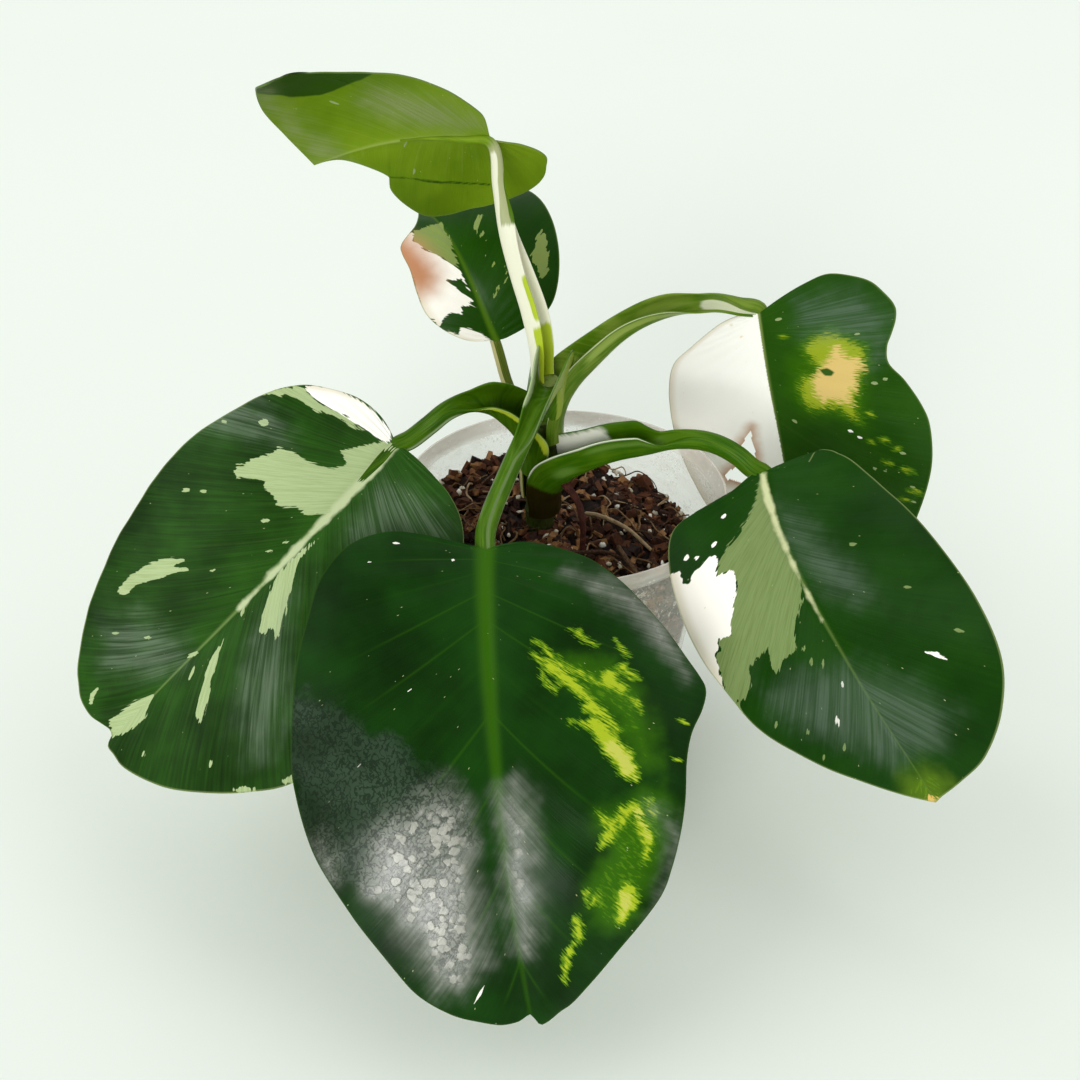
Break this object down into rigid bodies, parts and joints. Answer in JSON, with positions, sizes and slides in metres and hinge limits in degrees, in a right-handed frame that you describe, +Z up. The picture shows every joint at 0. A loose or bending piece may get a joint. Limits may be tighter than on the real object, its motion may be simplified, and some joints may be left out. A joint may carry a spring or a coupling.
{
  "type": "potted philodendron",
  "caption": "Young climbing foliage plant with broad marbled green and cream leaves on winged stalks, rooted in bark mix in a clear round nursery pot that stands on its flat base.",
  "frame": {"origin": "centre of the pot's flat base, on the surface that the pot stands on", "axes": "+Z up along the pot's axis; +X to the right and +Y away from the viewer of the front view, where the largest leaf hangs towards -Y"},
  "size_m": [0.302, 0.2535, 0.2578],
  "materials": {
    "green_blade": "glossy living leaf, dark green with cream, sage and lime marbling",
    "young_blade": "satin living leaf, light yellow-green underside, dark green upper side",
    "green_stalk": "smooth living stalk, mid green with pale winged margins",
    "cream_stalk": "smooth living stalk, cream with a lime stripe",
    "stem": "ringed green stem with brown leaf scars",
    "root": "matt reddish-brown root",
    "bark_mix": "rough bark chips with white mineral grains",
    "clear_pot": "clear moulded plastic, scuffed and lightly misted"
  },
  "bodies": {
    "root": {"leaf_a": "green_blade", "leaf_b": "green_blade", "leaf_c": "green_blade", "leaf_d": "green_blade", "leaf_e": "young_blade", "leaf_f": "green_blade", "stalk_a": "green_stalk", "stalk_b": "green_stalk", "stalk_c": "green_stalk", "stalk_d": "green_stalk", "stalk_e": "cream_stalk", "stalk_f": "green_stalk", "main_stem": "stem", "aerial_root": "root", "potting_mix": "bark_mix", "pot": "clear_pot"}
  },
  "joints": []
}
